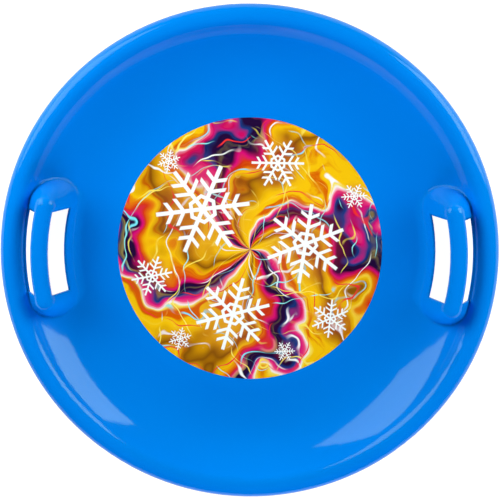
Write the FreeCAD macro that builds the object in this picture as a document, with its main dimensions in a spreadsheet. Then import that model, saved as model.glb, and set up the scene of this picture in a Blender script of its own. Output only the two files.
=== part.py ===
"""Saucer sled: a round moulded dish with a rolled rim and two grips that are moulded in one with it, and a
round printed label on its floor.

Millimetres, +Z up. The origin is the centre of the flat underside that the sled stands on. The grips lie on
the X axis, one on each side.
"""

import FreeCAD, Part
import math
import os
import Sketcher
from FreeCAD import Placement, Rotation, Vector

doc = FreeCAD.newDocument("saucer_sled")

# Driving dimensions
sheet = doc.addObject("Spreadsheet::Sheet", "sizes")
SIZES = {
    # the dish, a shell of even wall
    "rim_radius": 300.0,
    "rim_height": 56.0,
    "rim_roll": 14.0,
    "rim_skirt": 6.0,
    "floor_radius": 182.0,
    "wall": 2.5,
    # the grips, hollow arches of the same wall that stand on the dish
    "grip_inset": 50.0,
    "grip_height": 78.0,
    "grip_end": 7.3,
    "crown_shoulder": 1.8,
    "flank_angle": 70.0,
    "flare_height": 15.0,
    "flare_radius": 14.0,
    "run_out_angle": 25.0,
    # the hand slots beside each grip bar, and the bar between them
    "bar_width": 20.8,
    "bar_edge_radius": 1.0,
    "slot_length": 100.4,
    "slot_inner_height": 27.0,
    "slot_outer_height": 44.5,
    # the printed label
    "label_radius": 161.5,
    "label_thickness": 0.2,
    # how far a cutting shape runs past what it cuts
    "overrun": 5.0,
}
for row, (alias, value) in enumerate(SIZES.items(), start=1):
    sheet.set(f"A{row}", alias)
    sheet.set(f"B{row}", str(value))
    sheet.setAlias(f"B{row}", alias)
doc.recompute()

# Derived expressions that several features share
WALL_RUN = "(sizes.rim_radius - sizes.rim_roll - sizes.floor_radius)"
WALL_RISE = "(sizes.rim_height - sizes.rim_roll - sizes.wall)"
WALL_ARC_RADIUS = f"(({WALL_RUN}^2 + {WALL_RISE}^2 - sizes.rim_roll^2) / 2 / ({WALL_RISE} + sizes.rim_roll))"
WALL_ARC_BEND = f"asin({WALL_RUN} / ({WALL_ARC_RADIUS} + sizes.rim_roll))"
GRIP_CIRCLE = "(sizes.rim_radius - sizes.grip_inset)"
GRIP_HALF_SPREAD = "(sizes.slot_length / 2 + sizes.grip_end)"
GRIP_HALF_TURN = f"asin({GRIP_HALF_SPREAD} / {GRIP_CIRCLE})"
CROWN_RADIUS = "((sizes.bar_width / 2 + sizes.crown_shoulder) / sin(sizes.flank_angle))"
CROWN_CENTRE_HEIGHT = f"sizes.grip_height - {CROWN_RADIUS}"
BAR_INNER_RADIUS = f"{GRIP_CIRCLE} - sizes.bar_width / 2"
BAR_OUTER_RADIUS = f"{GRIP_CIRCLE} + sizes.bar_width / 2"


def worth(expression):
    """What an expression of the sheet's sizes comes to, in millimetres or degrees."""
    value = sheet.evalExpression(expression)
    return getattr(value, "Value", value)


# Sketch helpers. The sketcher numbers an edge's points from 1 and its own two axes from -1 down.
START, END, CENTRE = range(1, 4)
ACROSS, UPRIGHT = range(-1, -3, -1)
ORIGIN = (ACROSS, START)


def new_body(label):
    body = doc.addObject("PartDesign::Body", label)
    body.Label = label
    return body


def new_sketch(body, label, plane):
    """An empty sketch on one of the body's own origin planes."""
    sketch = body.newObject("Sketcher::SketchObject", label)
    support = next(feature for feature in body.Origin.OriginFeatures if feature.Role == plane)
    sketch.AttachmentSupport = [(support, "")]
    sketch.MapMode = "FlatFace"
    return sketch


def line(sketch, start, end):
    return sketch.addGeometry(Part.LineSegment(Vector(*start, 0), Vector(*end, 0)))


def arc(sketch, centre, radius, from_degrees, to_degrees):
    """A counter-clockwise arc, whose start is at from_degrees and whose end is at to_degrees."""
    circle = Part.Circle(Vector(*centre, 0), Vector(0, 0, 1), radius)
    return sketch.addGeometry(Part.ArcOfCircle(circle, math.radians(from_degrees), math.radians(to_degrees)))


def rule(sketch, kind, *where):
    return sketch.addConstraint(Sketcher.Constraint(kind, *where))


def dimension(sketch, name, kind, where, expression):
    """A named dimension that follows an expression of the sheet's sizes."""
    value = math.radians(worth(expression)) if kind == "Angle" else worth(expression)
    index = rule(sketch, kind, *where, value)
    sketch.renameConstraint(index, name)
    sketch.setExpression(f"Constraints.{name}", expression)


def turn(body, kind, label, sketch, degrees):
    """Turn a sketch about its own upright axis: a whole turn, or equally to both sides of its plane."""
    feature = body.newObject(kind, label)
    feature.Profile = sketch
    feature.ReferenceAxis = (sketch, ["V_Axis"])
    feature.Midplane = True
    feature.setExpression("Angle", degrees)
    return feature


# The dish: a flat floor, a wall that curves up from it and a rim rolled outward and down
def wall_arc():
    """Radius and turn, in degrees, of the arc that leaves the floor level and runs smoothly into the roll."""
    return worth(WALL_ARC_RADIUS), worth(WALL_ARC_BEND)


def draw_dish(sketch):
    """The cut through half the dish: along its upper face to the rim's edge, and back along its lower face."""
    rim, roll, skirt, wall, floor = (
        worth(f"sizes.{name}") for name in ("rim_radius", "rim_roll", "rim_skirt", "wall", "floor_radius")
    )
    roll_centre = (rim - roll, worth("sizes.rim_height - sizes.rim_roll"))
    radius, bend = wall_arc()
    arc_centre = (floor, wall + radius)
    edge_height = roll_centre[1] - skirt

    upper_floor = line(sketch, (0, wall), (floor, wall))
    upper_wall = arc(sketch, arc_centre, radius, 270, 270 + bend)
    upper_roll = arc(sketch, roll_centre, roll, 0, 90 + bend)
    outer_skirt = line(sketch, (rim, roll_centre[1]), (rim, edge_height))
    edge = arc(sketch, (rim - wall / 2, edge_height), wall / 2, 180, 360)
    inner_skirt = line(sketch, (rim - wall, edge_height), (rim - wall, roll_centre[1]))
    lower_roll = arc(sketch, roll_centre, roll - wall, 0, 90 + bend)
    lower_wall = arc(sketch, arc_centre, radius + wall, 270, 270 + bend)
    lower_floor = line(sketch, (floor, 0), (0, 0))
    axis = line(sketch, (0, 0), (0, wall))

    rule(sketch, "Tangent", upper_floor, END, upper_wall, START)
    rule(sketch, "Tangent", upper_wall, END, upper_roll, END)
    rule(sketch, "Tangent", upper_roll, START, outer_skirt, START)
    rule(sketch, "Tangent", outer_skirt, END, edge, END)
    rule(sketch, "Tangent", edge, START, inner_skirt, START)
    rule(sketch, "Tangent", inner_skirt, END, lower_roll, START)
    rule(sketch, "Tangent", lower_roll, END, lower_wall, END)
    rule(sketch, "Tangent", lower_wall, START, lower_floor, START)
    rule(sketch, "Coincident", lower_floor, END, axis, START)
    rule(sketch, "Coincident", axis, END, upper_floor, START)
    rule(sketch, "Coincident", axis, START, *ORIGIN)
    rule(sketch, "Coincident", upper_roll, CENTRE, lower_roll, CENTRE)
    for level in (upper_floor, lower_floor):
        rule(sketch, "Horizontal", level)
    for upright in (outer_skirt, inner_skirt, axis):
        rule(sketch, "Vertical", upright)
    rule(sketch, "Vertical", upper_floor, END, lower_floor, START)
    dimension(sketch, "floor_radius", "DistanceX", (*ORIGIN, upper_floor, END), "sizes.floor_radius")
    dimension(sketch, "rim_radius", "DistanceX", (*ORIGIN, outer_skirt, START), "sizes.rim_radius")
    dimension(sketch, "roll_centre_height", "DistanceY", (*ORIGIN, upper_roll, CENTRE),
              "sizes.rim_height - sizes.rim_roll")
    dimension(sketch, "rim_roll", "Radius", (upper_roll,), "sizes.rim_roll")
    dimension(sketch, "rim_skirt", "DistanceY", (outer_skirt, END, outer_skirt, START), "sizes.rim_skirt")
    dimension(sketch, "floor_wall", "DistanceY", (axis, START, axis, END), "sizes.wall")
    dimension(sketch, "skirt_wall", "DistanceX", (edge, START, edge, END), "sizes.wall")


def draw_under_dish(sketch):
    """What lies below the middle of the dish's wall, to trim off what a grip's blank has there."""
    wall = worth("sizes.wall")
    floor = worth("sizes.floor_radius")
    roll_centre = (worth("sizes.rim_radius - sizes.rim_roll"), worth("sizes.rim_height - sizes.rim_roll"))
    roll = worth("sizes.rim_roll - sizes.wall / 2")
    radius, bend = wall_arc()
    far = worth("sizes.rim_radius + sizes.floor_radius / 2")
    top = roll_centre[1] + roll
    bottom = worth("-2 * sizes.overrun")
    near = worth("sizes.floor_radius / 2")

    floor_line = line(sketch, (near, wall / 2), (floor, wall / 2))
    wall_line = arc(sketch, (floor, wall + radius), radius + wall / 2, 270, 270 + bend)
    roll_line = arc(sketch, roll_centre, roll, 90, 90 + bend)
    over = line(sketch, (roll_centre[0], top), (far, top))
    outside = line(sketch, (far, top), (far, bottom))
    under = line(sketch, (far, bottom), (near, bottom))
    inside = line(sketch, (near, bottom), (near, wall / 2))

    rule(sketch, "Tangent", floor_line, END, wall_line, START)
    rule(sketch, "Tangent", wall_line, END, roll_line, END)
    rule(sketch, "Tangent", roll_line, START, over, START)
    for one, other in ((over, outside), (outside, under), (under, inside), (inside, floor_line)):
        rule(sketch, "Coincident", one, END, other, START)
    for level in (floor_line, over, under):
        rule(sketch, "Horizontal", level)
    for upright in (outside, inside):
        rule(sketch, "Vertical", upright)
    dimension(sketch, "near", "DistanceX", (*ORIGIN, floor_line, START), "sizes.floor_radius / 2")
    dimension(sketch, "floor_radius", "DistanceX", (*ORIGIN, floor_line, END), "sizes.floor_radius")
    dimension(sketch, "half_wall", "DistanceY", (*ORIGIN, floor_line, END), "sizes.wall / 2")
    dimension(sketch, "roll_centre", "DistanceX", (*ORIGIN, roll_line, CENTRE),
              "sizes.rim_radius - sizes.rim_roll")
    dimension(sketch, "roll_centre_height", "DistanceY", (*ORIGIN, roll_line, CENTRE),
              "sizes.rim_height - sizes.rim_roll")
    dimension(sketch, "roll", "Radius", (roll_line,), "sizes.rim_roll - sizes.wall / 2")
    dimension(sketch, "far", "DistanceX", (*ORIGIN, over, END), "sizes.rim_radius + sizes.floor_radius / 2")
    dimension(sketch, "depth", "DistanceY", (under, END, *ORIGIN), "2 * sizes.overrun")


# The grips: each is a swept arch with a round end, made once as the outer form and once as the hollow in it
def draw_flank(sketch, crown, crown_point, centre, side, inset):
    """One side of a grip's section, down from the crown: a steep flank, a flare and a run-out below the dish.
    side is 1 for the right of the sketch and -1 for its left. Returns the run-out line."""
    flank_angle, run_out_angle = worth("sizes.flank_angle"), worth("sizes.run_out_angle")
    lean = math.radians(90 - flank_angle)
    flare = worth(f"sizes.flare_radius + {inset}")
    crown_radius = worth(f"{CROWN_RADIUS} - {inset}")
    flare_height = worth(f"sizes.flare_height - {inset} * cos(sizes.flank_angle)")
    top = Vector(crown_radius * math.cos(lean), centre[1] + crown_radius * math.sin(lean))
    foot = Vector(top.x + (top.y - flare_height) * math.tan(lean), flare_height)
    flare_centre = foot + Vector(math.cos(lean), math.sin(lean)) * flare
    run_out = math.radians(270 - run_out_angle)
    flare_end = flare_centre + Vector(math.cos(run_out), math.sin(run_out)) * flare
    bottom = worth("-sizes.overrun")
    last = Vector(flare_end.x + (flare_end.y - bottom) / math.tan(math.radians(run_out_angle)), bottom)

    def place(point):
        return centre[0] + side * point.x, point.y

    flank = line(sketch, place(top), place(foot))
    if side > 0:
        curve = arc(sketch, place(flare_centre), flare, 270 - flank_angle, 270 - run_out_angle)
        flank_end, run_out_end = START, END
        facing = ""
    else:
        curve = arc(sketch, place(flare_centre), flare, 270 + run_out_angle, 270 + flank_angle)
        flank_end, run_out_end = END, START
        facing = "180 - "
    tail = line(sketch, place(flare_end), place(last))

    rule(sketch, "Tangent", crown, crown_point, flank, START)
    rule(sketch, "Tangent", flank, END, curve, flank_end)
    rule(sketch, "Tangent", curve, run_out_end, tail, START)
    name = "right" if side > 0 else "left"
    dimension(sketch, f"{name}_flank_angle", "Angle", (flank,), f"-({facing}sizes.flank_angle)")
    dimension(sketch, f"{name}_run_out_angle", "Angle", (tail,), f"-({facing}sizes.run_out_angle)")
    dimension(sketch, f"{name}_flare_height", "DistanceY", (*ORIGIN, flank, END),
              f"sizes.flare_height - {inset} * cos(sizes.flank_angle)")
    dimension(sketch, f"{name}_flare_radius", "Radius", (curve,), f"sizes.flare_radius + {inset}")
    dimension(sketch, f"{name}_depth", "DistanceY", (tail, END, *ORIGIN), "sizes.overrun")
    return tail


def draw_arch(sketch, inset):
    """A grip's whole section, on the radius of the dish where the grip stands."""
    centre = (worth(GRIP_CIRCLE), worth(CROWN_CENTRE_HEIGHT))
    lean = 90 - worth("sizes.flank_angle")
    crown = arc(sketch, centre, worth(f"{CROWN_RADIUS} - {inset}"), lean, 180 - lean)
    right = draw_flank(sketch, crown, START, centre, 1, inset)
    left = draw_flank(sketch, crown, END, centre, -1, inset)
    right_point, left_point = (sketch.getPoint(tail, END) for tail in (right, left))
    base = line(sketch, (right_point.x, right_point.y), (left_point.x, left_point.y))
    rule(sketch, "Coincident", right, END, base, START)
    rule(sketch, "Coincident", base, END, left, END)
    dimension(sketch, "grip_circle", "DistanceX", (*ORIGIN, crown, CENTRE), GRIP_CIRCLE)
    dimension(sketch, "crown_height", "DistanceY", (*ORIGIN, crown, CENTRE), CROWN_CENTRE_HEIGHT)
    dimension(sketch, "crown_radius", "Radius", (crown,), f"{CROWN_RADIUS} - {inset}")


def draw_end(sketch, inset):
    """Half of a grip's section, beside the upright axis of the grip's round end."""
    centre = (0, worth(CROWN_CENTRE_HEIGHT))
    crown_radius = worth(f"{CROWN_RADIUS} - {inset}")
    crown = arc(sketch, centre, crown_radius, 90 - worth("sizes.flank_angle"), 90)
    tail = draw_flank(sketch, crown, START, centre, 1, inset)
    low_point = sketch.getPoint(tail, END)
    base = line(sketch, (low_point.x, low_point.y), (0, low_point.y))
    axis = line(sketch, (0, low_point.y), (0, centre[1] + crown_radius))
    rule(sketch, "Coincident", tail, END, base, START)
    rule(sketch, "Coincident", base, END, axis, START)
    rule(sketch, "Coincident", axis, END, crown, END)
    rule(sketch, "Horizontal", base)
    rule(sketch, "PointOnObject", axis, START, UPRIGHT)
    rule(sketch, "PointOnObject", axis, END, UPRIGHT)
    rule(sketch, "PointOnObject", crown, CENTRE, UPRIGHT)
    dimension(sketch, "crown_height", "DistanceY", (*ORIGIN, crown, CENTRE), CROWN_CENTRE_HEIGHT)
    dimension(sketch, "crown_radius", "Radius", (crown,), f"{CROWN_RADIUS} - {inset}")


def grip_body(label, inset, facing):
    """A grip's outer form, or with an inset of the wall the hollow inside it. facing is 0 or 180 degrees."""
    body = new_body(label)
    arch = new_sketch(body, f"{label}_arch", "XZ_Plane")
    draw_arch(arch, inset)
    turn(body, "PartDesign::Revolution", f"{label}_sweep", arch, f"2 * {GRIP_HALF_TURN}")
    for name, sign in (("far", 1), ("near", -1)):
        end = new_sketch(body, f"{label}_{name}_end", "XZ_Plane")
        end.AttachmentOffset = Placement(Vector(0, 0, 0), Rotation(Vector(0, 1, 0), sign * 90))
        end.setExpression("AttachmentOffset.Base.x", f"{GRIP_CIRCLE} * cos({GRIP_HALF_TURN})")
        end.setExpression("AttachmentOffset.Base.z", f"{-sign} * {GRIP_HALF_SPREAD}")
        end.setExpression("AttachmentOffset.Rotation.Angle", f"{sign} * ({GRIP_HALF_TURN} + 90 deg)")
        draw_end(end, inset)
        turn(body, "PartDesign::Revolution", f"{label}_{name}_dome", end, "180 deg")
    body.Placement = Placement(Vector(0, 0, 0), Rotation(Vector(0, 0, 1), facing))
    return body


def grip_blank(side, facing):
    """The solid form of a grip, standing on the middle of the dish's wall."""
    body = grip_body(f"{side}_grip_blank", "0", facing)
    under = new_sketch(body, f"{side}_under_dish", "XZ_Plane")
    draw_under_dish(under)
    turn(body, "PartDesign::Groove", f"{side}_trim", under, "360 deg")
    return body


# The hand slots: windows in a grip's flanks, which leave the crown between them as the bar
def flank_reach(height):
    """How far a grip's outer flank stands from the middle of the grip at a height, as an expression."""
    return (f"(sizes.bar_width / 2 + sizes.crown_shoulder + ({CROWN_CENTRE_HEIGHT}"
            f" + {CROWN_RADIUS} * cos(sizes.flank_angle) - {height}) / tan(sizes.flank_angle))")


def draw_slot(sketch, name, inner_radius, outer_radius, side):
    """A slot between two circles about the dish's axis, with its ends square to the grip."""
    half = worth("sizes.slot_length / 2")
    radii = [worth(inner_radius), worth(outer_radius)]
    swings = [math.degrees(math.asin(half / radius)) for radius in radii]
    middle = 0 if side > 0 else 180
    inner, outer = (
        arc(sketch, (0, 0), radius, middle - swing, middle + swing) for radius, swing in zip(radii, swings)
    )
    for edge, radius, which in ((inner, inner_radius, "inner"), (outer, outer_radius, "outer")):
        rule(sketch, "Coincident", edge, CENTRE, *ORIGIN)
        dimension(sketch, f"{name}_{which}_radius", "Radius", (edge,), radius)
    for point in (START, END):
        ends = [sketch.getPoint(edge, point) for edge in (inner, outer)]
        cap = line(sketch, *((end.x, end.y) for end in ends))
        rule(sketch, "Coincident", inner, point, cap, START)
        rule(sketch, "Coincident", outer, point, cap, END)
        rule(sketch, "Horizontal", cap)
    rule(sketch, "Symmetric", inner, START, inner, END, ACROSS)
    low, high = (START, END) if side > 0 else (END, START)
    dimension(sketch, f"{name}_length", "DistanceY", (inner, low, inner, high), "sizes.slot_length")


def cut_slots(shell, name, sill_height, inner_radius, outer_radius):
    """The same slot in both grips, cut straight up from a level sill."""
    outline = new_sketch(shell, f"{name}_outlines", "XY_Plane")
    outline.setExpression("AttachmentOffset.Base.z", sill_height)
    for grip, side in (("right", 1), ("left", -1)):
        draw_slot(outline, grip, inner_radius, outer_radius, side)
    pocket = shell.newObject("PartDesign::Pocket", name)
    pocket.Profile = outline
    pocket.Type = "ThroughAll"
    pocket.Reversed = True
    return pocket


def boolean(body, label, kind, tools):
    feature = body.newObject("PartDesign::Boolean", label)
    feature.Type = kind
    feature.setObjects(tools)
    return feature


def round_bars(shell, cut, skin):
    """Round the long upper edges of both bars, where the sides of the slots meet the outside of the moulding."""
    surface = Part.Compound(skin.Shells)
    touching = worth("sizes.wall / 1000")
    bar_radii = [worth(radius) for radius in (BAR_INNER_RADIUS, BAR_OUTER_RADIUS)]

    def on_bar(point):
        reach = math.hypot(point.x, point.y)
        beside_slot = any(abs(reach - radius) < touching for radius in bar_radii)
        return beside_slot and surface.distToShape(Part.Vertex(point))[0] < touching

    feature = shell.newObject("PartDesign::Fillet", "bar_edges")
    feature.Base = (cut, [
        f"Edge{number}"
        for number, edge in enumerate(cut.Shape.Edges, start=1)
        if not edge.Degenerated and all(on_bar(point) for point in edge.discretize(5))
    ])
    feature.setExpression("Radius", "sizes.bar_edge_radius")
    return feature


def saucer_shell():
    """The whole moulding: dish, rim and both grips, in one wall."""
    shell = new_body("saucer_shell")
    section = new_sketch(shell, "dish_section", "XZ_Plane")
    draw_dish(section)
    turn(shell, "PartDesign::Revolution", "dish", section, "360 deg")

    moulding = boolean(shell, "grips", "Fuse", [grip_blank("right", 0), grip_blank("left", 180)])
    boolean(shell, "grip_hollows", "Cut", [
        grip_body("right_grip_hollow", "sizes.wall", 0),
        grip_body("left_grip_hollow", "sizes.wall", 180),
    ])

    cut_slots(
        shell, "inner_slots", "sizes.slot_inner_height",
        f"{GRIP_CIRCLE} - {flank_reach('sizes.slot_inner_height')} - sizes.overrun", BAR_INNER_RADIUS,
    )
    outer = cut_slots(
        shell, "outer_slots", "sizes.slot_outer_height",
        BAR_OUTER_RADIUS, f"{GRIP_CIRCLE} + {flank_reach('sizes.slot_outer_height')} + sizes.wall / 4",
    )
    doc.recompute()
    round_bars(shell, outer, moulding.Shape)
    return shell


# The label: a thin printed film, which lies on the dish and would follow its wall if it were wider
def draw_film(sketch):
    """The cut through half of a film that covers the dish's floor and wall."""
    floor, wall, thickness = (worth(f"sizes.{name}") for name in ("floor_radius", "wall", "label_thickness"))
    radius, bend = wall_arc()
    centre = (floor, wall + radius)

    under_floor = line(sketch, (0, wall), (floor, wall))
    under_wall = arc(sketch, centre, radius, 270, 270 + bend)
    over_wall = arc(sketch, centre, radius - thickness, 270, 270 + bend)
    over_floor = line(sketch, (floor, wall + thickness), (0, wall + thickness))
    far_points = [sketch.getPoint(edge, END) for edge in (under_wall, over_wall)]
    far_edge = line(sketch, *((point.x, point.y) for point in far_points))
    axis = line(sketch, (0, wall + thickness), (0, wall))

    rule(sketch, "Tangent", under_floor, END, under_wall, START)
    rule(sketch, "Tangent", over_floor, START, over_wall, START)
    rule(sketch, "Coincident", under_wall, END, far_edge, START)
    rule(sketch, "Coincident", over_wall, END, far_edge, END)
    rule(sketch, "Coincident", over_floor, END, axis, START)
    rule(sketch, "Coincident", axis, END, under_floor, START)
    rule(sketch, "Coincident", under_wall, CENTRE, over_wall, CENTRE)
    rule(sketch, "PointOnObject", axis, END, UPRIGHT)
    for level in (under_floor, over_floor):
        rule(sketch, "Horizontal", level)
    rule(sketch, "Vertical", axis)
    rule(sketch, "PointOnObject", under_wall, CENTRE, far_edge)
    dimension(sketch, "floor_radius", "DistanceX", (*ORIGIN, under_floor, END), "sizes.floor_radius")
    dimension(sketch, "floor_top", "DistanceY", (*ORIGIN, under_floor, START), "sizes.wall")
    dimension(sketch, "thickness", "DistanceY", (axis, END, axis, START), "sizes.label_thickness")
    dimension(sketch, "roll_centre", "DistanceX", (*ORIGIN, under_wall, END),
              f"sizes.floor_radius + {WALL_ARC_RADIUS} * sin({WALL_ARC_BEND})")
    dimension(sketch, "wall_radius", "Radius", (under_wall,), WALL_ARC_RADIUS)


def centre_label():
    label = new_body("centre_label")
    film = new_sketch(label, "film_section", "XZ_Plane")
    draw_film(film)
    turn(label, "PartDesign::Revolution", "film", film, "360 deg")

    offcut = new_sketch(label, "offcut", "XY_Plane")
    for name, radius in (("label_radius", "sizes.label_radius"), ("rim_radius", "sizes.rim_radius")):
        circle = offcut.addGeometry(Part.Circle(Vector(0, 0, 0), Vector(0, 0, 1), worth(radius)))
        rule(offcut, "Coincident", circle, CENTRE, *ORIGIN)
        dimension(offcut, name, "Radius", (circle,), radius)
    trim = label.newObject("PartDesign::Pocket", "label_trim")
    trim.Profile = offcut
    trim.Type = "ThroughAll"
    trim.Reversed = True
    return label


nodes = [saucer_shell(), centre_label()]
doc.recompute()

# Nothing is written unless every object and every piece came out sound
for item in doc.Objects:
    if {"Invalid", "Error"} & set(item.State):
        raise RuntimeError(f"{item.Label} did not rebuild: {item.State}")
    if item.isDerivedFrom("Sketcher::SketchObject") and not item.FullyConstrained:
        raise RuntimeError(f"{item.Label} is not fully constrained")
for node in nodes:
    if node.Shape.isNull() or not node.Shape.isValid() or len(node.Shape.Solids) != 1:
        raise RuntimeError(f"{node.Label} is not one sound solid")

os.makedirs("parts", exist_ok=True)
for node in nodes:
    node.Shape.exportStep(f"parts/{node.Label}.step")
    box = node.Shape.optimalBoundingBox()
    print(f"{node.Label}: {node.Shape.Volume / 1000:.1f} cm3,"
          f" {box.XLength:.1f} x {box.YLength:.1f} x {box.ZLength:.1f} mm")
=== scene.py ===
# %% [markdown]
# # A saucer sled in blue plastic
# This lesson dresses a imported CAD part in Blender. The part is a round sled, 600 mm across: a shallow
# dish with a rolled rim, a moulded grip on each side, and a printed label on its floor. The CAD model
# already has every shape at its real size, so the work here is light, finish and print.

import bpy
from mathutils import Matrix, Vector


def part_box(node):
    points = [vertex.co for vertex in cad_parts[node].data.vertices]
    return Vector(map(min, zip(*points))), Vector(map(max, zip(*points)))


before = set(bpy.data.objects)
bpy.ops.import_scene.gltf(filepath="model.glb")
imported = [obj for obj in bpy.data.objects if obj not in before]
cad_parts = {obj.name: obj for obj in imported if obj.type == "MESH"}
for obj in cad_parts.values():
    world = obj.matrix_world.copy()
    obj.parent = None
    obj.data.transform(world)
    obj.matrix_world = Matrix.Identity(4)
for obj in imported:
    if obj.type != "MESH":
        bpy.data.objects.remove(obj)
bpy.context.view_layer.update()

# %% Import Blender's own modules
import math

import bpy
from mathutils import Matrix, Vector

scene = bpy.context.scene
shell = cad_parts["saucer_shell"]
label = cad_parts["centre_label"]
print("shell faces:", len(shell.data.polygons), "label faces:", len(label.data.polygons))

# %% [markdown]
# ## The camera
# The picture looks almost straight down. Its camera could be found by trial, but the outline of the rim
# and the corners of the hand slots fix it: it stands 2.5 m away, about nine degrees off the vertical.
# The camera's three axes are built as vectors and set as a matrix, which leaves nothing to an aim helper.

# %% Work out the camera's axes
CAMERA_TILT = math.radians(8.7)
CAMERA_SIDEWAYS = math.radians(0.95)
CAMERA_ROLL = math.radians(0.99)

back = Vector((math.sin(CAMERA_SIDEWAYS), math.sin(CAMERA_TILT), 0.0))
back.z = math.sqrt(1.0 - back.length_squared)
level_up = (Vector((0.0, 1.0, 0.0)) - back * back.y).normalized()
level_right = level_up.cross(back)
right = level_right * math.cos(CAMERA_ROLL) + level_up * math.sin(CAMERA_ROLL)
up = level_up * math.cos(CAMERA_ROLL) - level_right * math.sin(CAMERA_ROLL)
print("the camera looks back along", [round(v, 3) for v in back])

# %% Place the camera
CAMERA_DISTANCE = 2.5
AIM = Vector((0.0, 0.0, 0.042))
SENSOR_WIDTH = 36.0
PIXELS_PER_METRE = 830.8
PICTURE_SIDE = 500
PICTURE_MIDDLE = (249.15, 254.2)

lens = bpy.data.cameras.new("picture_camera")
lens.sensor_width = SENSOR_WIDTH
lens.lens = SENSOR_WIDTH * PIXELS_PER_METRE * CAMERA_DISTANCE / PICTURE_SIDE
lens.shift_x = 0.5 - PICTURE_MIDDLE[0] / PICTURE_SIDE
lens.shift_y = PICTURE_MIDDLE[1] / PICTURE_SIDE - 0.5
camera = bpy.data.objects.new("picture_camera", lens)
scene.collection.objects.link(camera)
axes = Matrix((right, up, back)).transposed()
camera.matrix_world = Matrix.Translation(AIM + back * CAMERA_DISTANCE) @ axes.to_4x4()
scene.camera = camera
scene.view_settings.view_transform = "Standard"
print("camera at", [round(v, 3) for v in camera.matrix_world.translation], "lens", round(lens.lens, 1))

# %% [markdown]
# ## Small helpers for node trees
# Materials here are trees of nodes. Each node could be added and wired by hand in the editor. In code a
# few short helpers keep a tree readable: one adds a node, one wires a socket, one blends two colours.


# %% Helpers that add nodes
def add_node(tree, kind, **settings):
    """Adds a node to the tree and sets the named properties on it."""
    node = tree.nodes.new(kind)
    for name, value in settings.items():
        setattr(node, name, value)
    return node


def feed(tree, socket, value):
    """Gives a socket a number, a vector or a colour, or wires another node's output to it."""
    if isinstance(value, bpy.types.NodeSocket):
        tree.links.new(value, socket)
    else:
        socket.default_value = value


def new_tree(name):
    """Makes an empty material and returns it with its tree and its output node."""
    material = bpy.data.materials.new(name)
    material.use_nodes = True
    tree = material.node_tree
    tree.nodes.clear()
    return material, tree, add_node(tree, "ShaderNodeOutputMaterial")


print("node helpers are ready")


# %% Helpers that work with values and colours
def maths(tree, operation, *values):
    """Adds a Math node and returns its output."""
    node = add_node(tree, "ShaderNodeMath", operation=operation)
    for socket, value in zip(node.inputs, values):
        feed(tree, socket, value)
    return node.outputs[0]


def blend(tree, amount, below, above, mode="MIX"):
    """Lays one colour over another by an amount from 0 to 1 and returns the result."""
    node = add_node(tree, "ShaderNodeMix", data_type="RGBA", blend_type=mode)
    feed(tree, node.inputs[0], amount)
    feed(tree, node.inputs[6], below)
    feed(tree, node.inputs[7], above)
    return node.outputs[2]


def noise(tree, vector, scale, detail=2.0):
    """A Noise texture on the given coordinates. Returns its grey value."""
    node = add_node(tree, "ShaderNodeTexNoise")
    feed(tree, node.inputs["Vector"], vector)
    feed(tree, node.inputs["Scale"], scale)
    feed(tree, node.inputs["Detail"], detail)
    return node.outputs["Fac"]


def spread(tree, value, low, high):
    """Stretches a value from 0 to 1 to the range from low to high."""
    node = add_node(tree, "ShaderNodeMapRange")
    feed(tree, node.inputs["Value"], value)
    feed(tree, node.inputs["To Min"], low)
    feed(tree, node.inputs["To Max"], high)
    return node.outputs[0]


print("value helpers are ready")

# %% [markdown]
# ## The floor
# The sled lies on a plain white sheet. A white diffuse plane alone would look grey under soft light, so
# the plane also glows for camera, mirror and glass rays. Some of its brightness still comes from the
# lamps, which keeps the sled's soft shadow on it.

# %% Lay the floor
FLOOR_HALF_SIDE = 30.0
FLOOR_HEIGHT = -0.0004

signs = [(-1, -1), (1, -1), (1, 1), (-1, 1)]
corners = [(x * FLOOR_HALF_SIDE, y * FLOOR_HALF_SIDE, FLOOR_HEIGHT) for x, y in signs]
floor_mesh = bpy.data.meshes.new("floor")
floor_mesh.from_pydata(corners, [], [(0, 1, 2, 3)])
floor = bpy.data.objects.new("floor", floor_mesh)
scene.collection.objects.link(floor)
print("floor of", 2 * FLOOR_HALF_SIDE, "m")

# %% Make the floor white
FLOOR_GLOW = 0.94
FLOOR_WHITE = (0.3, 0.3, 0.3, 1.0)

floor_paper, tree, output = new_tree("floor_paper")
rays = add_node(tree, "ShaderNodeLightPath")
seen = maths(tree, "ADD", rays.outputs["Is Camera Ray"], rays.outputs["Is Glossy Ray"])
seen = maths(tree, "ADD", seen, rays.outputs["Is Transmission Ray"])
seen = maths(tree, "MINIMUM", seen, 1.0)
glow = add_node(tree, "ShaderNodeEmission")
feed(tree, glow.inputs["Strength"], maths(tree, "MULTIPLY", seen, FLOOR_GLOW))
matt = add_node(tree, "ShaderNodeBsdfDiffuse")
feed(tree, matt.inputs["Color"], FLOOR_WHITE)
both = add_node(tree, "ShaderNodeAddShader")
feed(tree, both.inputs[0], glow.outputs[0])
feed(tree, both.inputs[1], matt.outputs[0])
feed(tree, output.inputs["Surface"], both.outputs[0])
floor_mesh.materials.append(floor_paper)
print("floor paper has", len(tree.nodes), "nodes")

# %% [markdown]
# ## The light
# A glossy dish shows what it faces, so two softboxes stand low on the far side and leave the pale patches
# on the near wall of the dish. They could be made strong enough to light everything, but the patches
# would then turn white. So three wide banks give most of the light and are left out of the reflections.
# Two of them stand on about the same sides, which keeps the soft shadows beside the grips. The third
# stands in front and lights the far wall.


# %% Place the softboxes
LAMP_DISTANCE = 1.7
COOL_LIGHT = (0.72, 1.0, 0.75)


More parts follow.
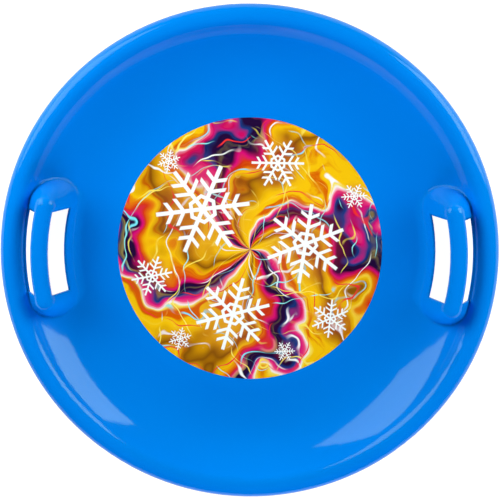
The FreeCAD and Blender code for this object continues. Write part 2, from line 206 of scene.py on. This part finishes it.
def place_lamp(name, faces, azimuth, elevation, size, power, spin, colour):
    """A rectangular lamp, seen from the point that it faces in the given direction, in degrees."""
    lamp = bpy.data.lights.new(name, "AREA")
    lamp.shape = "RECTANGLE"
    lamp.size, lamp.size_y = size
    lamp.energy = power
    lamp.color = colour
    holder = bpy.data.objects.new(name, lamp)
    scene.collection.objects.link(holder)
    turn, rise = math.radians(azimuth), math.radians(elevation)
    way = Vector((math.cos(turn) * math.cos(rise), math.sin(turn) * math.cos(rise), math.sin(rise)))
    facing = way.to_track_quat("Z", "Y").to_matrix().to_4x4() @ Matrix.Rotation(math.radians(spin), 4, "Z")
    holder.matrix_world = Matrix.Translation(Vector(faces) + way * LAMP_DISTANCE) @ facing
    print(name, "at", [round(v, 2) for v in holder.matrix_world.translation])
    return holder


# Each row has a name, the place on the wall that mirrors the lamp, its azimuth, elevation and size,
# its power in watts and its turn about its own line of sight.
SOFTBOXES = [
    ("right_softbox", (-0.18, -0.17, 0.03), 33.0, 15.0, (0.88, 0.83), 14.5, -16.0),
    ("left_softbox", (0.17, -0.16, 0.03), 142.0, 21.0, (1.04, 1.04), 16.0, 28.0),
]
for name, mirrored_at, azimuth, elevation, size, power, spin in SOFTBOXES:
    place_lamp(name, mirrored_at, azimuth, elevation, size, power, spin, COOL_LIGHT)

# %% Place the banks that only give light
BANK_FACES = (0.0, 0.0, 0.03)
BANK_SIZE = (1.4, 0.9)
BANK_LIGHT = (1.0, 0.93, 1.0)
# Each row has a name, the azimuth, the elevation and the power in watts.
BANKS = [
    ("right_bank", 22.0, 36.0, 11.8),
    ("left_bank", 150.0, 36.0, 17.4),
    ("front_fill", 277.0, 18.0, 24.5),
]
for name, azimuth, elevation, power in BANKS:
    bank = place_lamp(name, BANK_FACES, azimuth, elevation, BANK_SIZE, power, 0.0, BANK_LIGHT)
    bank.visible_glossy = False
    bank.data.cycles.use_multiple_importance_sampling = False

# %% Set the room behind the lamps
ROOM_LIGHT = (0.06, 0.06, 0.06, 1.0)

world = bpy.data.worlds.new("studio_room")
scene.world = world
world.use_nodes = True
tree = world.node_tree
tree.nodes.clear()
room = add_node(tree, "ShaderNodeBackground")
feed(tree, room.inputs["Color"], ROOM_LIGHT)
sky = add_node(tree, "ShaderNodeOutputWorld")
feed(tree, sky.inputs["Surface"], room.outputs[0])
world.cycles_visibility.glossy = False
print("room light", ROOM_LIGHT[:3])

# %% [markdown]
# ## The moulded plastic
# The sled is one shot of polypropylene, coloured through and glossy as it leaves the mould. A flat blue
# would look like paint, so the tree adds what a moulding shows close up: a faint drift of the colour
# where the melt flowed, a gloss that is a little uneven, and a skin that is not quite smooth.

# %% Mix the blue plastic
DEEP_BLUE = (0.0, 0.185, 0.735, 1.0)
CLEAR_BLUE = (0.0, 0.205, 0.785, 1.0)
FLOW_SCALE = 7.0
FLOW_DETAIL = 3.0
PLASTIC_IOR = 1.49
PLASTIC_SPECULAR = 0.25
PLASTIC_CLOUD_SCALE = 45.0
PLASTIC_CLOUD_DETAIL = 5.0
PLASTIC_SMOOTHEST = 0.05
PLASTIC_ROUGHEST = 0.1

blue_plastic, tree, output = new_tree("blue_plastic")
place = add_node(tree, "ShaderNodeTexCoord").outputs["Object"]
plastic = add_node(tree, "ShaderNodeBsdfPrincipled")
plastic.inputs["IOR"].default_value = PLASTIC_IOR
plastic.inputs["Specular IOR Level"].default_value = PLASTIC_SPECULAR
flow = noise(tree, place, FLOW_SCALE, FLOW_DETAIL)
feed(tree, plastic.inputs["Base Color"], blend(tree, flow, DEEP_BLUE, CLEAR_BLUE))
cloud = noise(tree, place, PLASTIC_CLOUD_SCALE, PLASTIC_CLOUD_DETAIL)
feed(tree, plastic.inputs["Roughness"], spread(tree, cloud, PLASTIC_SMOOTHEST, PLASTIC_ROUGHEST))
feed(tree, output.inputs["Surface"], plastic.outputs[0])
shell.data.materials.clear()
shell.data.materials.append(blue_plastic)
print("blue plastic has", len(tree.nodes), "nodes")

# %% [markdown]
# Melt does not fill a sharp corner, so a Bevel node softens the shading where two faces meet at the ends
# of the grips. A real bevel would need every such edge to be picked out. A fine Bump node on top of it
# gives the skin.

# %% Soften the plastic's edges and skin
EDGE_ROUNDING = 0.006
EDGE_SAMPLES = 8
SKIN_SCALE = 260.0
SKIN_STRENGTH = 0.05
SKIN_DEPTH = 0.0004

rounded = add_node(tree, "ShaderNodeBevel", samples=EDGE_SAMPLES)
rounded.inputs["Radius"].default_value = EDGE_ROUNDING
skin = add_node(tree, "ShaderNodeBump")
skin.inputs["Strength"].default_value = SKIN_STRENGTH
skin.inputs["Distance"].default_value = SKIN_DEPTH
feed(tree, skin.inputs["Height"], noise(tree, place, SKIN_SCALE))
feed(tree, skin.inputs["Normal"], rounded.outputs[0])
feed(tree, plastic.inputs["Normal"], skin.outputs[0])
print("blue plastic now has", len(tree.nodes), "nodes")

# %% [markdown]
# ## The printed label
# The label is a thin film, printed edge to edge, on the floor of the dish. A picture file could be laid on
# it, but a print that is made from numbers stays sharp at any size and needs no file. The design is a
# swirl of coloured ribbons with thin trails of light over it, and snow crystals on top. All of it is
# drawn in shares of the label's radius.


# %% Helpers for printing
def soft_step(tree, value, low, high):
    """Goes smoothly from 0 at low to 1 at high, or the other way round where low is the greater."""
    node = add_node(tree, "ShaderNodeMapRange", interpolation_type="SMOOTHSTEP")
    if low > high:
        node.inputs["From Min"].default_value, node.inputs["From Max"].default_value = high, low
        node.inputs["To Min"].default_value, node.inputs["To Max"].default_value = 1.0, 0.0
    else:
        node.inputs["From Min"].default_value, node.inputs["From Max"].default_value = low, high
    feed(tree, node.inputs["Value"], value)
    return node.outputs[0]


def ink_ramp(tree, value, inks):
    """Turns a value from 0 to 1 into a colour, by a list of places and inks."""
    node = add_node(tree, "ShaderNodeValToRGB")
    stops = node.color_ramp.elements
    while len(stops) < len(inks):
        stops.new(0.5)
    for stop, (where, ink) in zip(stops, inks):
        stop.position = where
        stop.color = (*ink, 1.0)
    feed(tree, node.inputs["Fac"], value)
    return node.outputs["Color"]


def distance(tree, x, y):
    """How far a point is from the middle that its two coordinates start from."""
    squares = maths(tree, "ADD", maths(tree, "MULTIPLY", x, x), maths(tree, "MULTIPLY", y, y))
    return maths(tree, "SQRT", squares)


def weighted(tree, first, first_share, second, second_share):
    """Adds two values, each times its own share."""
    return maths(tree, "ADD", maths(tree, "MULTIPLY", first, first_share),
                 maths(tree, "MULTIPLY", second, second_share))


print("printing helpers are ready")

# %% Lay out the label's polar coordinates
LABEL_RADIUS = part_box("centre_label")[1].x
FULL_TURN = 2.0 * math.pi
SWAY_SCALE = 13.0

printed_film, tree, output = new_tree("printed_film")
place = add_node(tree, "ShaderNodeTexCoord").outputs["Object"]
along = add_node(tree, "ShaderNodeSeparateXYZ")
feed(tree, along.inputs[0], place)
across_x = maths(tree, "DIVIDE", along.outputs["X"], LABEL_RADIUS)
across_y = maths(tree, "DIVIDE", along.outputs["Y"], LABEL_RADIUS)
reach = distance(tree, across_x, across_y)
bearing = maths(tree, "DIVIDE", maths(tree, "ARCTAN2", across_y, across_x), FULL_TURN)
sway = maths(tree, "SUBTRACT", noise(tree, place, SWAY_SCALE), 0.5)
print("label radius", round(LABEL_RADIUS, 4), "m")

# %% [markdown]
# The ribbons come from one number that counts turns round the label. A twist is added to it that grows
# with the distance from the middle, and a slow noise that makes it sway, and a colour ramp then reads the
# part after the decimal point, so each ribbon runs through the same inks.

# %% Print the ribbons
YELLOW = (0.92, 0.52, 0.003)
GOLD = (0.6, 0.26, 0.002)
UMBER = (0.24, 0.08, 0.003)
AMBER = (0.78, 0.19, 0.003)
SCARLET = (0.66, 0.03, 0.008)
MAGENTA = (0.68, 0.004, 0.17)
VIOLET = (0.016, 0.003, 0.04)
NIGHT_BLUE = (0.01, 0.04, 0.22)
PINK = (0.86, 0.06, 0.22)
PALE = (0.95, 0.84, 0.82)
CREAM = (0.92, 0.7, 0.1)
RIBBON_INKS = [
    (0.0, CREAM), (0.04, YELLOW), (0.22, YELLOW), (0.33, GOLD), (0.42, UMBER), (0.46, GOLD),
    (0.54, YELLOW), (0.59, AMBER), (0.64, SCARLET), (0.69, MAGENTA), (0.74, VIOLET), (0.82, VIOLET),
    (0.86, NIGHT_BLUE), (0.9, MAGENTA), (0.94, PINK), (0.98, PALE), (1.0, CREAM),
]
RIBBONS = 4
RIBBON_TWIST = 0.85
RIBBON_SWAY = 1.3

turns = weighted(tree, bearing, float(RIBBONS), reach, RIBBON_TWIST)
turns = maths(tree, "ADD", turns, maths(tree, "MULTIPLY", sway, RIBBON_SWAY))
print_colour = ink_ramp(tree, maths(tree, "FRACT", turns), RIBBON_INKS)
print("ribbons:", RIBBONS, "of", len(RIBBON_INKS), "inks")

# %% [markdown]
# Each ribbon is streaked along its length, like brushed paint. The streaks are a noise that is wrapped
# round a cylinder by the count of turns, so that the end of a ribbon meets its beginning without a seam.

# %% Streak the ribbons with fibres
FIBRE_ROUND = 1.4
FIBRE_OUTWARD = 2.2
FIBRE_ACROSS = 1.3
FIBRE_DETAIL = 4.0
BRIGHT_FIBRES = (0.58, 0.76)
BRIGHT_INK = 0.45
DARK_FIBRES = (0.47, 0.32)
DARK_INK = 0.8

angle = maths(tree, "MULTIPLY", turns, FULL_TURN)
wrapped = add_node(tree, "ShaderNodeCombineXYZ")
feed(tree, wrapped.inputs["X"], maths(tree, "MULTIPLY", maths(tree, "COSINE", angle), FIBRE_ROUND))
feed(tree, wrapped.inputs["Y"], maths(tree, "MULTIPLY", maths(tree, "SINE", angle), FIBRE_ROUND))
feed(tree, wrapped.inputs["Z"], weighted(tree, reach, FIBRE_OUTWARD, across_x, FIBRE_ACROSS))
fibres = noise(tree, wrapped.outputs[0], 1.0, FIBRE_DETAIL)
bright = maths(tree, "MULTIPLY", soft_step(tree, fibres, *BRIGHT_FIBRES), BRIGHT_INK)
dark = maths(tree, "MULTIPLY", soft_step(tree, fibres, *DARK_FIBRES), DARK_INK)
print_colour = blend(tree, bright, print_colour, (*CREAM, 1.0), "SCREEN")
print_colour = blend(tree, dark, print_colour, (*MAGENTA, 1.0), "MULTIPLY")
print("printed film has", len(tree.nodes), "nodes so far")

# %% [markdown]
# A trail of light is a thin line that winds round the label as a ribbon does, with more turns and its own
# twist. It could be a curve object on the film, but a real print has no thickness. A noise breaks each
# trail up, so that only some lengths of it are lit.

# %% Print the trails of light
# Each row has the trail's count, its twist, where it starts, its half width and its colour.
TRAILS = [
    (3.0, -1.9, 0.15, 0.03, (0.95, 0.95, 0.95)),
    (5.0, 2.6, 0.6, 0.028, (0.2, 0.75, 0.9)),
    (4.0, -3.1, 0.35, 0.024, (0.98, 0.8, 0.15)),
    (7.0, 1.4, 0.8, 0.026, (0.95, 0.9, 0.95)),
    (9.0, 3.4, 0.2, 0.03, (0.85, 0.03, 0.03)),
    (6.0, -4.2, 0.5, 0.022, (0.3, 0.85, 0.9)),
    (11.0, -2.2, 0.7, 0.032, (0.98, 0.75, 0.1)),
]
TRAIL_SWAY = 2.4
TRAIL_CORE_SHARE = 0.3
BREAK_SCALE = 22.0
BREAK_LIMITS = (0.46, 0.6)
BREAK_SHIFT = Vector((0.37, 0.21, 0.0))

for number, (count, twist, start, half_width, light) in enumerate(TRAILS):
    line = weighted(tree, bearing, count, reach, twist)
    line = maths(tree, "ADD", line, maths(tree, "MULTIPLY", sway, TRAIL_SWAY))
    line = maths(tree, "FRACT", maths(tree, "ADD", line, start))
    off_line = maths(tree, "ABSOLUTE", maths(tree, "SUBTRACT", line, 0.5))
    inked = soft_step(tree, off_line, half_width, half_width * TRAIL_CORE_SHARE)
    shifted = add_node(tree, "ShaderNodeVectorMath", operation="ADD")
    feed(tree, shifted.inputs[0], place)
    feed(tree, shifted.inputs[1], BREAK_SHIFT * number)
    lit = soft_step(tree, noise(tree, shifted.outputs[0], BREAK_SCALE), *BREAK_LIMITS)
    print_colour = blend(tree, maths(tree, "MULTIPLY", inked, lit), print_colour, (*light, 1.0))
print("trails of light:", len(TRAILS))

# %% [markdown]
# A snow crystal has six arms, and each arm is its own mirror image. So the tree folds the whole plane into
# one twelfth of a turn and draws half an arm there: one straight stem, two side twigs and one side of the
# small hexagon in the middle. The fold copies it round. A node group holds the crystal, to be placed often.
# Its sizes are shares of the crystal's own reach.

# %% Set the crystal's sizes
STEM_EDGE = (0.05, 0.035)
STEM_END = (1.0, 0.97)
HEXAGON_REACH = 0.24
LINE_EDGE = (0.045, 0.03)
TWIGS = [(0.4, 0.3), (0.64, 0.24)]
TWIG_FADE = 0.03
TWIG_ANGLE = math.pi / 3.0
SHADE_EDGE = (1.3, 0.4)
print("each arm has", len(TWIGS), "twigs a side")


# %% Make the snow crystal
def crystal_group():
    """A node group: coordinates from the crystal's middle to its ink and its shade, both from 0 to 1."""
    group = bpy.data.node_groups.new("snow_crystal", "ShaderNodeTree")
    for name in ("U", "V"):
        group.interface.new_socket(name, in_out="INPUT", socket_type="NodeSocketFloat")
    for name in ("Ink", "Shade"):
        group.interface.new_socket(name, in_out="OUTPUT", socket_type="NodeSocketFloat")
    given = add_node(group, "NodeGroupInput").outputs
    result = add_node(group, "NodeGroupOutput").inputs
    far = distance(group, given["U"], given["V"])
    fold = maths(group, "PINGPONG", maths(group, "ARCTAN2", given["V"], given["U"]), FULL_TURN / 12.0)
    out_along = maths(group, "MULTIPLY", far, maths(group, "COSINE", fold))
    aside = maths(group, "MULTIPLY", far, maths(group, "SINE", fold))
    stem = soft_step(group, aside, *STEM_EDGE)
    stem = maths(group, "MULTIPLY", stem, soft_step(group, out_along, *STEM_END))
    hexagon = maths(group, "ABSOLUTE", maths(group, "SUBTRACT", out_along, HEXAGON_REACH))
    ink = maths(group, "MAXIMUM", stem, soft_step(group, hexagon, *LINE_EDGE))
    for foot, length in TWIGS:
        past_foot = maths(group, "SUBTRACT", out_along, foot)
        off_twig = weighted(group, past_foot, math.sin(TWIG_ANGLE), aside, -math.cos(TWIG_ANGLE))
        twig = soft_step(group, maths(group, "ABSOLUTE", off_twig), *LINE_EDGE)
        twig = maths(group, "MULTIPLY", twig, soft_step(group, aside, length, length - TWIG_FADE))
        ink = maths(group, "MAXIMUM", ink, twig)
    feed(group, result["Ink"], ink)
    feed(group, result["Shade"], soft_step(group, far, *SHADE_EDGE))
    return group


snow_crystal = crystal_group()
print("the snow crystal has", len(snow_crystal.nodes), "nodes")

# %% Print the crystals
# Each row has the crystal's middle and its reach, in shares of the label's radius, and its turn in degrees.
CRYSTALS = [
    (-0.36, 0.3, 0.36, 8.0),
    (0.42, 0.05, 0.31, 22.0),
    (-0.12, -0.5, 0.29, 15.0),
    (0.2, 0.66, 0.2, 0.0),
    (-0.74, -0.22, 0.16, 12.0),
    (0.62, -0.52, 0.15, 25.0),
    (0.78, 0.42, 0.1, 5.0),
    (-0.52, -0.7, 0.09, 18.0),
    (-0.62, 0.66, 0.09, 20.0),
    (0.28, -0.78, 0.08, 3.0),
]
CRYSTAL_INK = (0.94, 0.96, 0.97, 1.0)
CRYSTAL_SHADE = (0.45, 0.02, 0.03, 1.0)
CRYSTAL_SHADE_STRENGTH = 0.4

for middle_x, middle_y, size, spin in CRYSTALS:
    from_x = maths(tree, "DIVIDE", maths(tree, "SUBTRACT", across_x, middle_x), size)
    from_y = maths(tree, "DIVIDE", maths(tree, "SUBTRACT", across_y, middle_y), size)
    cosine, sine = math.cos(math.radians(spin)), math.sin(math.radians(spin))
    crystal = add_node(tree, "ShaderNodeGroup", node_tree=snow_crystal)
    feed(tree, crystal.inputs["U"], weighted(tree, from_x, cosine, from_y, sine))
    feed(tree, crystal.inputs["V"], weighted(tree, from_y, cosine, from_x, -sine))
    shade = maths(tree, "MULTIPLY", crystal.outputs["Shade"], CRYSTAL_SHADE_STRENGTH)
    print_colour = blend(tree, shade, print_colour, CRYSTAL_SHADE)
    print_colour = blend(tree, crystal.outputs["Ink"], print_colour, CRYSTAL_INK)
print("crystals:", len(CRYSTALS))

# %% [markdown]
# The film has a gloss of its own, softer than the plastic's. One even value would look like glass, so a
# fine noise moves the roughness up and down, as on a film that was rubbed down by hand.

# %% Finish the film
FILM_CLOUD_SCALE = 70.0
FILM_CLOUD_DETAIL = 4.0
FILM_SMOOTHEST = 0.16
FILM_ROUGHEST = 0.26

film = add_node(tree, "ShaderNodeBsdfPrincipled")
feed(tree, film.inputs["Base Color"], print_colour)
cloud = noise(tree, place, FILM_CLOUD_SCALE, FILM_CLOUD_DETAIL)
feed(tree, film.inputs["Roughness"], spread(tree, cloud, FILM_SMOOTHEST, FILM_ROUGHEST))
feed(tree, output.inputs["Surface"], film.outputs[0])
label.data.materials.clear()
label.data.materials.append(printed_film)
print("printed film has", len(tree.nodes), "nodes")
